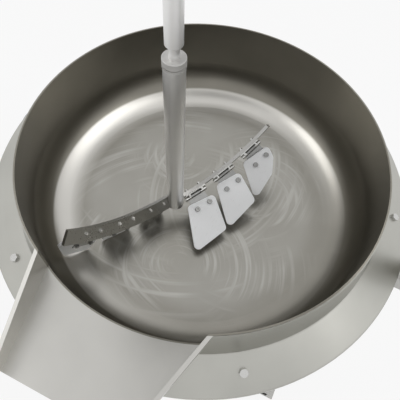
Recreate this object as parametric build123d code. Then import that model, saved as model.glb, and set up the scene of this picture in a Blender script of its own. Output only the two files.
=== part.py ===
from build123d import *
import os
from math import asin, atan, atan2, cos, degrees, hypot, pi, radians, sin, sqrt, tan

# Tilting steam jacketed kettle with a planetary scraper stirrer.
# Millimetres. The origin is on the floor, under the centre of the bowl. +Z is up, the
# pouring spout points to -Y, and the tilt trunnions lie along X.

# ---- Driving dimensions ------------------------------------------------------------
rim_height = 1100.0          # floor to bowl rim
trunnion_drop = 280.0        # rim to tilt axis

bowl_radius = 500.0          # inside radius of the bowl wall
bowl_depth = 325.0           # rim to the lowest point inside
bowl_knuckle = 125.0         # inside radius of the corner between wall and bottom
bowl_crown = 2000.0          # inside radius of the dished bottom
bowl_wall = 4.0

steam_space = 36.0           # gap between bowl and jacket, filled with steam
jacket_wall = 5.0
jacket_top = 150.0           # rim to the top of the jacket's closing ring
insulation_thickness = 37.5
layer_gap = 0.3              # between the insulation and the cladding
insulation_top = 196.0       # rim to the top of the insulation
cladding_wall = 2.0

collar_depth = 110.0         # rim to the bend between collar and apron
collar_flare = 14.4          # how far the collar widens over that depth
apron_radius = 613.5         # outer edge of the sloping apron
apron_drop = 155.0           # rim to the apron's outer edge
apron_hem = 12.0             # turned-down edge
sheet = 2.5
bend_radius = 12.0

bolt_circle_radius = 565.0   # where the apron bolts sit
bolt_angles = (-35.0, 35.0, -101.5, 101.5, 180.0)    # from the spout's direction
apron_bolt_size = 12.0
apron_bolt_flats = 20.0

throat_half_width = 218.75   # at the rim
throat_depth = 85.0          # rim to the spout's floor, at the bowl wall
spout_reach = 702.5          # bowl centre to the lip
spout_convergence = 0.28     # sideways run per length, each side
spout_floor_rise = 0.165     # the floor climbs towards the lip
spout_top_fall = 0.035       # the wall tops drop towards the lip
spout_sheet = 3.0
spout_hem_width = 10.0
spout_hem_drop = 15.0

eccentricity = 88.0          # bowl centre to the stirrer shaft
planet_direction = 229.5     # where the shaft stands at rest, degrees from +X
arm_direction = 61.3         # first arm, degrees from +X
shaft_radius = 25.0
shaft_foot = 250.0           # rim to the lower end of the shaft
shaft_top = 318.0            # height above the rim of the collar's underside
collar_ring_radius = 26.2
collar_ring_height = 22.0
neck_radius = 12.2
sleeve_radius = 19.5
sleeve_bottom = 366.0        # height above the rim
sleeve_chamfer = 7.0

arm_top_drop = 200.0         # rim to the arm's upper edge, at its lowest
arm_arc_radius = 450.0       # of the arm's upper edge
arm_arc_offset = 25.0        # where that arc is lowest, from the shaft's axis
arm_reach = 345.0
arm_height = 45.0
arm_thickness = 10.0
arm_lean = 20.0
arm_shift = 5.0              # the arm's centre line, towards the scrapers

hinge_drop = 38.0            # arm's upper edge to the hinge pin
hinge_shift = 14.0           # pin, towards the scrapers
knuckle_radius = 7.0
pin_radius = 3.5
hinge_fit = 0.05             # radial play of a pin in its knuckle
hinge_gap = 0.6              # between neighbouring knuckles
leaf_thickness = 3.0
scraper_thickness = 8.0
scraper_gap = 3.0            # least room between a scraper and the bowl that it sweeps
scraper_top = 14.0           # shortest reach of a scraper below its pin
scraper_corner = 14.0
scraper_screw_drop = 45.0    # pin to the screws
scraper_screw_spacing = 46.0
scraper_screw_radius = 4.0
screw_head_radius = 8.0
screw_head_height = 4.5
blade_leaf_length = 60.0
leaf_bolt_spacing = 46.0
leaf_bolt_radius = 3.0

bracket_width = 36.0         # of the tabs that carry the apron
bracket_thickness = 4.0
bracket_leg = 24.0
bracket_gap = 0.2

beam_width = 90.0            # of the stub beam that carries the lift post
beam_top = 170.0             # below the rim
beam_height = 55.0
beam_end = 745.0
beam_wall = 6.0

steam_pipe_radius = 21.0
steam_pipe_bore = 17.0
steam_pipe_drop = 250.0      # rim to the steam inlet
steam_pipe_angle = 96.0      # from +X, so it leaves at the back
drain_pipe_radius = 17.0
drain_pipe_bore = 13.0
safety_pipe_radius = 13.0
safety_pipe_angle = 66.0
safety_pipe_drop = 290.0

valve_length = 64.0
valve_body_radius = 27.0
stem_height = 62.0
lever_length = 120.0
flange_radius = 57.5
flange_thickness = 16.0
flange_bolt_circle = 42.5
flange_bolt_bore = 14.0
steam_valve_start = 636.0    # bowl centre to the near end of the steam valve
safety_valve_offset = 652.0
safety_riser = 20.0          # elbow's centre to the valve's seat
safety_lever_level = 73.0    # seat to the test lever
safety_pivot_back = 22.0     # stem to the lever's pivot
safety_pivot_radius = 2.5
gauge_radius = 42.0
gauge_stem_radius = 8.0
gauge_angle = 122.0
gauge_drop = 300.0
gauge_offset = 622.0         # bowl centre to the back of the gauge case
gauge_depth = 34.0
gauge_recess = 3.0           # dial below the front edge of its case
drain_valve_top = 450.0      # below the rim

post_offset = 690.0          # bowl centre to the lift post
post_radius = 50.0
post_bore = 42.0
post_top = 440.0             # height above the rim
lift_tube_radius = 38.0
lift_tube_wall = 6.0
slide_fit = 0.06
cylinder_radius = 25.0
cylinder_bore = 19.0
cylinder_top = 405.0
rod_radius = 11.0
arm_beam_bottom = 600.0      # height above the rim
arm_beam_height = 90.0
arm_beam_width = 110.0

head_radius = 155.0
head_wall = 10.0
head_bottom = 575.0          # height above the rim
head_height = 120.0
gear_module = 4.0
ring_teeth = 66
planet_teeth = 22
gear_width = 22.0
gear_backlash = 0.5

motor_radius = 72.0
motor_height = 190.0
gearbox_radius = 88.0
gearbox_height = 120.0
fan_cover_height = 58.0
motor_fins = 28

trunnion_radius = 30.0
trunnion_boss_radius = 54.0
bearing_inner_face = 592.0   # bowl centre to the bearing, along X
bearing_width = 34.0
bearing_radius = 50.0
bearing_fit = 0.06
bearing_seat_drop = 60.0     # tilt axis to the pedestal's top

worm_wheel_teeth = 40
worm_module = 2.5
worm_radius = 15.0
worm_shaft_radius = 8.0
worm_wheel_width = 18.0
gear_case_width = 36.0
gear_case_wall = 5.0
gear_case_room = 7.0         # inside the case, beyond the wheel's pitch circle
handwheel_radius = 105.0
handwheel_reach = 350.0      # tilt axis to the handwheel, towards -Y

skid_height = 60.0
skid_half_length = 320.0     # each way from the middle
skid_offset = 480.0          # bowl centre to a skid's centre line
skid_width = 50.0
anchor_plate = 100.0
anchor_plate_thickness = 12.0
anchor_bore = 14.0

trunnion_root = 440.0         # inner end of the boss, before it is fitted to the jacket

# ---- Derived places ----------------------------------------------------------------
tilt_height = rim_height - trunnion_drop
spout_root = sqrt(bowl_radius**2 - throat_half_width**2)
planet_x = eccentricity * cos(radians(planet_direction))
planet_y = eccentricity * sin(radians(planet_direction))
jacket_radius = bowl_radius + bowl_wall + steam_space
cladding_radius = jacket_radius + jacket_wall + insulation_thickness + layer_gap
bowl_outer = bowl_radius + bowl_wall
collar_top_radius = bowl_outer + sheet + 0.1
collar_radius = collar_top_radius + collar_flare
beam_centre = -beam_top - beam_height / 2
apron_slope = degrees(atan2(apron_drop - collar_depth, apron_radius - collar_radius))

os.makedirs("parts", exist_ok=True)


def save(name, shape):
    """Write one named sub-part."""
    export_step(shape, f"parts/{name}.step")


def at_rim(shape):
    """Lift a shape drawn with the rim plane at z = 0 to its real height."""
    return Pos(0, 0, rim_height) * shape


def group(shapes):
    """Keep several separate solids together in one node."""
    solids = []
    for shape in shapes:
        solids += shape.solids()
    return Compound(children=solids)


def polar(radius, angle, height=0.0):
    """A point from the bowl's axis, with the angle measured from +X."""
    return (radius * cos(radians(angle)), radius * sin(radians(angle)), height)


# ---- Dished vessels ------------------------------------------------------------------
def dish_outline(radius, depth, knuckle, crown, top):
    """Half section of a dished vessel, from its top edge down to the axis."""
    crown_centre = crown - depth
    knuckle_x = radius - knuckle
    knuckle_z = crown_centre - sqrt((crown - knuckle) ** 2 - knuckle_x**2)
    turn = degrees(atan2(knuckle_z - crown_centre, knuckle_x))
    return [
        Line((radius, -top), (radius, knuckle_z)),
        CenterArc((knuckle_x, knuckle_z), knuckle, 0, turn),
        CenterArc((0, crown_centre), crown, turn, -90 - turn),
    ]


def dish_height(radius, depth, knuckle, crown, at):
    """Height of the vessel's inside at a distance from its axis, rim plane at zero."""
    crown_centre = crown - depth
    knuckle_x = radius - knuckle
    knuckle_z = crown_centre - sqrt((crown - knuckle) ** 2 - knuckle_x**2)
    join = knuckle_x * crown / (crown - knuckle)
    if at <= join:
        return crown_centre - sqrt(crown**2 - at**2)
    across = min(at - knuckle_x, knuckle)
    return knuckle_z - sqrt(knuckle**2 - across**2)


def dished_shell(radius, depth, knuckle, crown, wall, top):
    """Revolved sheet vessel with parallel inner and outer faces."""
    inner = dish_outline(radius, depth, knuckle, crown, top)
    outer = dish_outline(radius + wall, depth + wall, knuckle + wall, crown + wall, top)
    edge = Line((radius, -top), (radius + wall, -top))
    middle = Line((0, -depth), (0, -depth - wall))
    section = make_face(inner + outer + [edge, middle])
    return revolve(Plane.XZ * section, Axis.Z)


def offset_points(points, distance):
    """Mitred parallel copy of an open polyline, on its left side."""
    result = []
    count = len(points)
    for i, (x, z) in enumerate(points):
        ahead = points[min(i + 1, count - 1)]
        behind = points[max(i - 1, 0)]
        a = atan2(ahead[1] - z, ahead[0] - x) if i < count - 1 else None
        b = atan2(z - behind[1], x - behind[0]) if i > 0 else a
        a = b if a is None else a
        half = (a - b) / 2
        reach = distance / cos(half)
        normal = b + half + pi / 2
        result.append((x + reach * cos(normal), z + reach * sin(normal)))
    return result


def sheet_section(points, thickness, radius=0.0):
    """Face of a bent sheet: the given points are one side, the other is offset to the left."""
    other = offset_points(points, thickness)
    if radius > 0:
        first = FilletPolyline(*points, radius=radius)
        second = FilletPolyline(*other, radius=radius)
    else:
        first = Polyline(*points)
        second = Polyline(*other)
    return make_face([first, second, Line(points[0], other[0]), Line(points[-1], other[-1])])


# ---- Spout ---------------------------------------------------------------------------
def spout_half_width(along):
    return throat_half_width - (along - spout_root) * spout_convergence


def spout_floor(along):
    return -throat_depth + (along - bowl_radius) * spout_floor_rise


def spout_underside(along):
    return spout_floor(along) - spout_sheet


def spout_top(along):
    return -(along - spout_root) * spout_top_fall


def spout_flange_underside(along):
    return spout_top(along) - spout_sheet


def spout_hem_bottom(along):
    return spout_top(along) - spout_hem_drop


def above_rim(along):
    return 80.0


def spout_block(start, end, widen, low, high):
    """Solid that follows the spout's plan, between two heights that vary along it."""
    near = spout_half_width(start) + widen
    far = spout_half_width(end) + widen
    plan = Polyline((-near, -start), (near, -start), (far, -end), (-far, -end), close=True)
    prism = extrude(Pos(0, 0, -400) * make_face(plan), 800)
    corners = [(-start, low(start)), (-start, high(start)), (-end, high(end)), (-end, low(end))]
    side = Polyline(*corners, close=True)
    return prism & extrude(Plane.YZ * make_face(side), 600, both=True)


def spout_opening():
    """The space inside the spout, cut out of the bowl wall too."""
    return spout_block(bowl_radius * 0.6, spout_reach + 60, 0, spout_floor, above_rim)


def spout_envelope():
    """All that the spout fills outside the bowl, cut out of the collar."""
    start = bowl_radius * 0.8
    end = spout_reach + 60
    trough = spout_block(start, end, spout_sheet, spout_underside, above_rim)
    return trough + spout_block(start, end, spout_hem_width, spout_hem_bottom, above_rim)


def make_spout():
    """Trough with hemmed wall tops, welded to the outside of the bowl."""
    start = bowl_radius * 0.8
    trough = spout_block(start, spout_reach, spout_sheet, spout_underside, spout_top)
    hem = spout_block(start, spout_reach, spout_hem_width, spout_hem_bottom, spout_top)
    fold = spout_hem_width - spout_sheet
    hem -= spout_block(start - 1, spout_reach + 1, fold, spout_underside, spout_flange_underside)
    return trough + hem - spout_opening() - Cylinder(bowl_outer, 400)


# ---- Bowl, jacket and cladding ---------------------------------------------------------
def make_bowl():
    bowl = dished_shell(bowl_radius, bowl_depth, bowl_knuckle, bowl_crown, bowl_wall, 0)
    return bowl - spout_opening()


def apron_face(radius):
    """Height of the apron's upper face at a distance from the axis."""
    return -collar_depth - (radius - collar_radius) * tan(radians(apron_slope))


def apron_frame(angle, radius):
    """Plane on the apron's upper face, with its normal square to the sheet."""
    row_angle = angle - 90
    tilt = radians(apron_slope)
    normal = polar(sin(tilt), row_angle, cos(tilt))
    around = polar(1, row_angle + 90)
    return Plane(origin=polar(radius, row_angle, apron_face(radius)), x_dir=around, z_dir=normal)


def apron_holes(length, radius):
    """Pins through every apron bolt position."""
    return group([apron_frame(a, bolt_circle_radius) * Cylinder(radius, length) for a in bolt_angles])


def make_apron():
    """Collar under the rim, running out into the sloping apron with its turned-down edge."""
    points = [
        (apron_radius, -apron_drop - apron_hem),
        (apron_radius, -apron_drop),
        (collar_radius, -collar_depth),
        (collar_top_radius, -1.5),
    ]
    section = sheet_section(points, sheet, bend_radius / 2)
    apron = revolve(Plane.XZ * section, Axis.Z) - Cylinder(bowl_outer, 400)
    apron -= spout_envelope()
    return apron - apron_holes(60, apron_bolt_size / 2 + 0.5)


def make_jacket():
    """Outer pressure shell, with the ring that closes it against the bowl."""
    step = steam_space + bowl_wall
    shell = dished_shell(
        bowl_radius + step, bowl_depth + step, bowl_knuckle + step, bowl_crown + step,
        jacket_wall, jacket_top,
    )
    ring = Pos(0, 0, -jacket_top - 8) * Cylinder(
        jacket_radius + 0.5, 8, align=(Align.CENTER, Align.CENTER, Align.MIN)
    )
    ring -= Cylinder(bowl_outer, 800)
    return shell + ring


def jacket_body():
    """Everything inside the jacket's outer face, cut from what is welded onto it."""
    step = steam_space + bowl_wall + jacket_wall
    outline = dish_outline(
        bowl_radius + step, bowl_depth + step, bowl_knuckle + step, bowl_crown + step, 0
    )
    closing = [Line((0, 0), (bowl_radius + step, 0)), Line((0, 0), (0, -bowl_depth - step))]
    return revolve(Plane.XZ * make_face(outline + closing), Axis.Z)


def make_insulation():
    """Mineral wool between the jacket and the cladding."""
    step = steam_space + bowl_wall + jacket_wall
    wool = dished_shell(
        bowl_radius + step, bowl_depth + step, bowl_knuckle + step, bowl_crown + step,
        insulation_thickness, jacket_top,
    )
    return wool - standing(cladding_radius, -insulation_top, 0) - kettle_passages()


def make_cladding():
    """Thin outer skin, up to the underside of the apron."""
    step = cladding_radius - bowl_radius
    top = -apron_face(cladding_radius + cladding_wall) + sheet + 1.5
    shell = dished_shell(
        cladding_radius, bowl_depth + step, bowl_knuckle + step, bowl_crown + step,
        cladding_wall, top,
    )
    return shell - kettle_passages()


def kettle_passages():
    """Everything that passes out through the insulation and the cladding."""
    reach = cladding_radius + 40
    holes = Pos(0, 0, -trunnion_drop) * Rot(0, 90, 0) * Cylinder(trunnion_boss_radius, 2 * reach)
    holes += Pos(reach / 2, 0, beam_centre) * Box(reach, beam_width, beam_height)
    holes += Pos(0, 0, -bowl_depth - 100) * Cylinder(drain_pipe_radius, 220)
    holes += steam_pipe_core(steam_pipe_radius)
    holes += safety_pipe_core(safety_pipe_radius)
    holes += radial(gauge_angle, -gauge_drop, rod_along_x(gauge_stem_radius, 300, 700))
    return holes


# ---- Apron fixings ---------------------------------------------------------------------
def make_apron_brackets():
    """Bent tabs welded inside the cladding, under the apron bolts."""
    outer = sqrt((cladding_radius - 0.3) ** 2 - (bracket_width / 2) ** 2)
    under = sheet / cos(radians(apron_slope)) + bracket_gap
    points = [
        (outer, apron_face(outer) - under - bracket_leg),
        (outer, apron_face(outer) - under),
        (bolt_circle_radius - 18, apron_face(bolt_circle_radius - 18) - under),
    ]
    section = sheet_section(points, bracket_thickness)
    tab = extrude(Plane.XZ * section, bracket_width / 2, both=True)
    tabs = Rot(0, 0, -90) * group([Rot(0, 0, a) * tab for a in bolt_angles])
    return tabs - apron_holes(60, apron_bolt_size / 2 + 0.5)


def hexagon_head(flats, height):
    """Hexagon prism with its upper corners chamfered to a circle."""
    head = extrude(RegularPolygon(flats / 2, 6, major_radius=False), height)
    on_base = (Align.CENTER, Align.CENTER, Align.MIN)
    cone = Cone(flats / 2 + height + 0.2, flats / 2 - 0.4, height + 0.6, align=on_base)
    return head & cone


def make_apron_bolts():
    """Hexagon bolts through the apron and the tabs."""
    below = sheet + bracket_thickness + 12
    bolt = hexagon_head(apron_bolt_flats, apron_bolt_size * 0.62)
    bolt += Cylinder(apron_bolt_size / 2, below, align=(Align.CENTER, Align.CENTER, Align.MAX))
    return group([apron_frame(a, bolt_circle_radius) * bolt for a in bolt_angles])


def make_apron_nuts():
    """Nuts under the tabs."""
    thickness = apron_bolt_size * 0.8
    nut = extrude(RegularPolygon(apron_bolt_flats / 2, 6, major_radius=False), thickness)
    nut -= Cylinder(apron_bolt_size / 2, 60)
    place = Pos(0, 0, -sheet - bracket_gap - bracket_thickness - thickness - 0.05)
    return group([apron_frame(a, bolt_circle_radius) * place * nut for a in bolt_angles])


# ---- Trunnions and the stub beam -------------------------------------------------------
def make_trunnion(side, length):
    """Boss welded on the jacket, with the stub shaft turned on it."""
    boss_end = bearing_inner_face - 4
    boss = rod_along_x(trunnion_boss_radius, trunnion_root, boss_end)
    shaft = rod_along_x(trunnion_radius, boss_end, length)
    stub = Pos(0, 0, -trunnion_drop) * (boss + shaft) - jacket_body()
    return stub if side > 0 else Rot(0, 0, 180) * stub


def make_stub_beam():
    """Box beam from the jacket to the foot of the lift post."""
    length = beam_end - 450
    beam = Pos(450 + length / 2, 0, beam_centre) * Box(length, beam_width, beam_height)
    core = Box(length - beam_wall, beam_width - 2 * beam_wall, beam_height - 2 * beam_wall)
    beam -= Pos(450 + (length - beam_wall) / 2, 0, beam_centre) * core
    return beam - jacket_body()


# ---- Steam side ------------------------------------------------------------------------
def radial(angle, height, shape):
    """Turn a shape drawn along +X to an angle around the bowl."""
    return Rot(0, 0, angle) * Pos(0, 0, height) * shape


def rod_along_x(radius, start, end):
    return Pos((start + end) / 2, 0, 0) * (Rot(0, 90, 0) * Cylinder(radius, end - start))


def tube_along_x(outer, bore, start, end):
    return rod_along_x(outer, start, end) - rod_along_x(bore, start - 1, end + 1)


def steam_pipe_core(radius):
    pipe = Pos(500, 0, 0) * Rot(0, 90, 0) * Cylinder(radius, 400)
    return radial(steam_pipe_angle, -steam_pipe_drop, pipe)


def safety_pipe_core(radius):
    pipe = Pos(500, 0, 0) * Rot(0, 90, 0) * Cylinder(radius, 400)
    return radial(safety_pipe_angle, -safety_pipe_drop, pipe)


def make_steam_pipe():
    pipe = tube_along_x(steam_pipe_radius, steam_pipe_bore, trunnion_root, steam_valve_start)
    return radial(steam_pipe_angle, -steam_pipe_drop, pipe) - jacket_body()


def valve_body(bore):
    """Ball valve along +X from the origin, with its stem boss upwards."""
    hexagon = Rot(0, 90, 0) * extrude(RegularPolygon(valve_body_radius, 6), valve_length)
    ball = Pos(valve_length / 2, 0, 0) * Sphere(valve_body_radius + 4)
    boss = Pos(valve_length / 2, 0, stem_height / 2) * Cylinder(10, stem_height)
    bore_cut = Pos(valve_length / 2, 0, 0) * Rot(0, 90, 0) * Cylinder(bore, valve_length + 2)
    return hexagon + ball + boss - bore_cut


def valve_lever():
    """Lever that sits on the stem and points along +X."""
    plate = Pos(lever_length / 2, 0, 2) * Box(lever_length, 18, 4)
    hub = Cylinder(13, 9, align=(Align.CENTER, Align.CENTER, Align.MIN))
    grip = Pos(lever_length - 30, 0, 2) * Box(62, 22, 9)
    return Pos(valve_length / 2, 0, stem_height + 0.2) * (plate + hub + grip)


def make_steam_valve():
    body = Pos(steam_valve_start, 0, 0) * valve_body(steam_pipe_bore)
    return radial(steam_pipe_angle, -steam_pipe_drop, body)


def make_steam_lever():
    closed = Pos(steam_valve_start + valve_length / 2, 0, 0) * Rot(0, 0, -90) * Pos(-valve_length / 2, 0, 0)
    return radial(steam_pipe_angle, -steam_pipe_drop, closed * valve_lever())


def make_steam_flange():
    """Bolted pipe flange at the steam inlet."""
    start = steam_valve_start + valve_length
    disc = tube_along_x(flange_radius, steam_pipe_bore, start, start + flange_thickness)
    for i in range(4):
        turn = 45 + 90 * i
        place = Pos(start, *polar(flange_bolt_circle, turn)[:2])
        hole = place * Rot(0, 90, 0) * Cylinder(flange_bolt_bore / 2, 60)
        disc -= hole
    return radial(steam_pipe_angle, -steam_pipe_drop, disc)


def make_safety_pipe():
    """Nipple and elbow from the jacket to the safety valve."""
    pipe = tube_along_x(safety_pipe_radius, safety_pipe_radius - 4, trunnion_root, safety_valve_offset)
    elbow = Pos(safety_valve_offset, 0, 0) * Sphere(safety_pipe_radius + 5)
    riser = Pos(safety_valve_offset, 0, 0) * Cylinder(
        safety_pipe_radius, safety_riser, align=(Align.CENTER, Align.CENTER, Align.MIN)
    )
    whole = pipe + elbow + riser
    return radial(safety_pipe_angle, -safety_pipe_drop, whole) - jacket_body()


def safety_pivot(radius, half):
    """Rod on the pivot of the test lever."""
    return Pos(-safety_pivot_back, 0, safety_lever_level) * (Rot(90, 0, 0) * Cylinder(radius, 2 * half))


def at_safety_valve(shape):
    return radial(safety_pipe_angle, -safety_pipe_drop, Pos(safety_valve_offset, 0, safety_riser) * shape)


def make_safety_valve():
    """Spring-loaded valve on the elbow, with two ears that hold the lever's pivot."""
    outline = Polyline(
        (0, 0), (19, 0), (19, 13), (14, 17), (14, 24), (18, 28),
        (18, 58), (12, 64), (6, 64), (6, 69), (0, 69),
        close=True,
    )
    body = revolve(Plane.XZ * make_face(outline), Axis.Z)
    outlet = Pos(0, 24, 20) * Rot(90, 0, 0) * Cylinder(10, 36)
    body = body + outlet - Pos(0, 34, 20) * Rot(90, 0, 0) * Cylinder(7, 30)
    for side in (-1, 1):
        ear = Pos(-17, side * 9, 62) * Box(16, 4, 28)
        body += ear
    return at_safety_valve(body + safety_pivot(safety_pivot_radius, 11))


def make_safety_lever():
    """Test lever over the valve's stem, turning on the pivot between the ears."""
    length = 60
    plate = Pos(length / 2 - safety_pivot_back, 0, safety_lever_level) * Box(length, 12, 5)
    drop = Pos(length - safety_pivot_back - 2, 0, safety_lever_level - 10) * Box(4, 12, 25)
    lever = plate + drop + safety_pivot(6, 6) - safety_pivot(safety_pivot_radius + hinge_fit, 40)
    return at_safety_valve(lever)


def make_gauge():
    """Jacket pressure gauge on its siphon stem."""
    case = tube_along_x(gauge_radius, gauge_radius - 3, gauge_offset, gauge_offset + gauge_depth)
    back = rod_along_x(gauge_radius - 1, gauge_offset, gauge_offset + gauge_depth - gauge_recess)
    stem = rod_along_x(gauge_stem_radius, trunnion_root, gauge_offset + 2)
    whole = radial(gauge_angle, -gauge_drop, case + back + stem)
    return whole - jacket_body()


def make_drain_pipe():
    """Condensate pipe from the lowest point of the jacket."""
    start = bowl_depth + bowl_wall + steam_space + jacket_wall
    pipe = Cylinder(drain_pipe_radius, drain_valve_top - start) - Cylinder(drain_pipe_bore, 900)
    return Pos(0, 0, -(drain_valve_top + start) / 2) * pipe


def make_drain_valve():
    return Pos(0, 0, -drain_valve_top) * Rot(0, 90, 0) * valve_body(drain_pipe_bore)


def make_drain_lever():
    return Pos(0, 0, -drain_valve_top) * Rot(0, 90, 0) * valve_lever()


# ---- Lift post -------------------------------------------------------------------------
def standing(radius, bottom, top):
    """Upright cylinder between two heights."""
    return Pos(0, 0, (bottom + top) / 2) * Cylinder(radius, top - bottom)


def make_post():
    """Outer tube of the lift column on its base flange."""
    base = -beam_top
    flange = standing(64, base, base + 14)
    tube = standing(post_radius, base, post_top) - standing(post_bore, base + 14, post_top + 1)
    return Pos(post_offset, 0, 0) * (flange + tube)


def make_post_bush():
    """Guide bush pressed into the top of the post."""
    collar = standing(post_radius, post_top, post_top + 8)
    bush = standing(post_bore, post_top - 70, post_top + 8) + collar
    return Pos(post_offset, 0, 0) * (bush - standing(lift_tube_radius + slide_fit, 0, 900))


def make_lift_tube():
    """Sliding tube of the column, with the flange that carries the arm."""
    bottom = -beam_top + 30
    tube = standing(lift_tube_radius, bottom, arm_beam_bottom)
    tube += standing(56, arm_beam_bottom - 12, arm_beam_bottom)
    tube -= standing(lift_tube_radius - lift_tube_wall, bottom - 1, arm_beam_bottom - 20)
    return Pos(post_offset, 0, 0) * tube


def make_lift_cylinder():
    """Barrel of the lifting ram, standing inside the post."""
    base = -beam_top + 14
    barrel = standing(cylinder_radius, base, cylinder_top)
    barrel -= standing(cylinder_bore, base + 12, cylinder_top - 20)
    barrel -= standing(rod_radius + slide_fit, cylinder_top - 30, cylinder_top + 1)
    return Pos(post_offset, 0, 0) * barrel


def make_lift_rod():
    """Piston and rod of the lifting ram."""
    base = -beam_top + 14
    piston = standing(cylinder_bore - slide_fit, base + 12.5, base + 34)
    return Pos(post_offset, 0, 0) * (piston + standing(rod_radius, base + 30, arm_beam_bottom - 20))


def make_arm_beam():
    """Tapered box arm between the column and the stirrer head."""
    far = post_offset + 62
    middle_z = arm_beam_bottom + arm_beam_height / 2
    half = arm_beam_width / 2
    plan = Polyline((60, -half * 0.9), (far, -half), (far, half), (60, half * 0.9), close=True)
    core = [(60, -half * 0.9 + 6), (far - 6, -half + 6), (far - 6, half - 6), (60, half * 0.9 - 6)]
    core_plan = Polyline(*core, close=True)
    beam = Pos(0, 0, arm_beam_bottom) * extrude(make_face(plan), arm_beam_height)
    beam -= Pos(0, 0, arm_beam_bottom + 8) * extrude(make_face(core_plan), arm_beam_height - 14)
    return beam - standing(head_radius, 0, 2 * middle_z)


# ---- Stirrer head ----------------------------------------------------------------------
head_top = head_bottom + head_height
carrier_bottom = head_bottom + 3
carrier_top = carrier_bottom + 24
gear_bottom = carrier_top + 38
planet_pitch = gear_module * planet_teeth / 2
ring_pitch = gear_module * ring_teeth / 2
addendum = 0.8 * gear_module
dedendum = gear_module
spindle_radius = 20.0
carrier_shaft_radius = 25.0
pressure_angle = radians(20)


def gear_outline(teeth, outer, inner, thinning):
    """Closed outline of an involute gear whose first tooth points along +X."""
    pitch = gear_module * teeth / 2
    base = pitch * cos(pressure_angle)
    involute = tan(pressure_angle) - pressure_angle
    half = pi / (2 * teeth) - thinning / (2 * pitch)
    points = []
    steps = 4
    for tooth in range(teeth):
        centre = 2 * pi * tooth / teeth
        flank = []
        for i in range(steps):
            radius = max(inner, base) + (outer - max(inner, base)) * i / (steps - 1)
            roll = sqrt(max((radius / base) ** 2 - 1, 0))
            flank.append((radius, half + involute - (roll - atan(roll))))
        if inner < base:
            flank.insert(0, (inner, flank[0][1]))
        points += [(r * cos(centre - a), r * sin(centre - a)) for r, a in flank]
        points += [(r * cos(centre + a), r * sin(centre + a)) for r, a in reversed(flank)]
    return make_face(Polyline(*points, close=True))


def make_head_housing():
    """Round housing of the planetary gear, open at the bottom."""
    housing = standing(head_radius, head_bottom, head_top)
    housing -= standing(head_radius - head_wall, head_bottom - 1, head_top - 12)
    return housing - standing(carrier_shaft_radius + 10, head_bottom, head_top + 1)


def make_carrier_bearing():
    """Bearing of the carrier shaft in the housing's top."""
    ring = standing(carrier_shaft_radius + 10, head_top - 16, head_top)
    ring += standing(carrier_shaft_radius + 16, head_top - 20, head_top - 12)
    return ring - standing(carrier_shaft_radius + slide_fit, head_bottom, head_top + 1)


def make_ring_gear():
    """Fixed ring with internal teeth, one space facing the planet."""
    ring = extrude(Circle(head_radius - head_wall), gear_width)
    teeth = gear_outline(ring_teeth, ring_pitch + dedendum, ring_pitch - addendum, -gear_backlash / 2)
    ring -= extrude(teeth, gear_width)
    return Pos(0, 0, gear_bottom) * Rot(0, 0, planet_direction) * ring


def make_planet_gear():
    """Pinion that rolls inside the ring."""
    pinion = extrude(
        gear_outline(planet_teeth, planet_pitch + addendum, planet_pitch - dedendum, gear_backlash / 2),
        gear_width,
    )
    pinion -= Cylinder(spindle_radius, 200)
    return Pos(planet_x, planet_y, gear_bottom) * Rot(0, 0, planet_direction) * pinion


def make_carrier():
    """Disc that carries the planet shaft round the bowl, on its central shaft."""
    disc = standing(head_radius - head_wall - 2, carrier_bottom, carrier_top)
    disc += Pos(planet_x, planet_y, 0) * standing(34, carrier_top, carrier_top + 30)
    disc += standing(carrier_shaft_radius, carrier_top, head_top + 24)
    disc += standing(carrier_shaft_radius + 8, carrier_top, head_top - 22)
    return disc - Pos(planet_x, planet_y, 0) * standing(spindle_radius + 7, carrier_bottom - 1, head_top)


def make_planet_bearing():
    """Bush that the planet shaft turns in."""
    bush = standing(spindle_radius + 7, carrier_bottom, carrier_top + 30)
    return Pos(planet_x, planet_y, 0) * (bush - standing(spindle_radius + slide_fit, 0, 2000))


def make_gearbox():
    """Reduction gearbox bolted on the housing."""
    body = standing(gearbox_radius + 22, head_top, head_top + 14)
    body += standing(gearbox_radius, head_top + 14, head_top + gearbox_height)
    body = chamfer(body.edges().group_by(Axis.Z)[-1], 8)
    return body - standing(carrier_shaft_radius + slide_fit, head_top - 1, head_top + 30)


def make_motor():
    """Finned motor with its feet-free flange."""
    start = head_top + gearbox_height
    body = standing(motor_radius - 10, start, start + motor_height)
    body += standing(motor_radius + 4, start, start + 12)
    body += standing(motor_radius, start + motor_height - 14, start + motor_height)
    for i in range(motor_fins):
        fin = Pos(motor_radius - 9, 0, start + motor_height / 2) * Box(16, 3, motor_height - 14)
        body += Rot(0, 0, 360 / motor_fins * i) * fin
    return body


def make_fan_cover():
    """Fan cowl with a slotted top."""
    start = head_top + gearbox_height + motor_height
    cover = standing(motor_radius + 2, start, start + fan_cover_height)
    cover = fillet(cover.edges().group_by(Axis.Z)[-1], 14)
    core = standing(motor_radius - 0.5, start - 20, start + fan_cover_height - 3)
    cover -= fillet(core.edges().group_by(Axis.Z)[-1], 11.5)
    for i in range(-3, 4):
        half = sqrt(46.0**2 - (i * 13) ** 2)
        cover -= Pos(i * 13, 0, start + fan_cover_height) * Box(7, 2 * half, 20)
    return cover


def make_terminal_box():
    start = head_top + gearbox_height + motor_height / 2
    box = Pos(0, motor_radius + 24, start) * Box(96, 52, 84)
    return box - standing(motor_radius - 0.8, 0, 3000)


# ---- Stirrer shaft -----------------------------------------------------------------------
def on_shaft(shape):
    return Pos(planet_x, planet_y, 0) * shape


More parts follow.
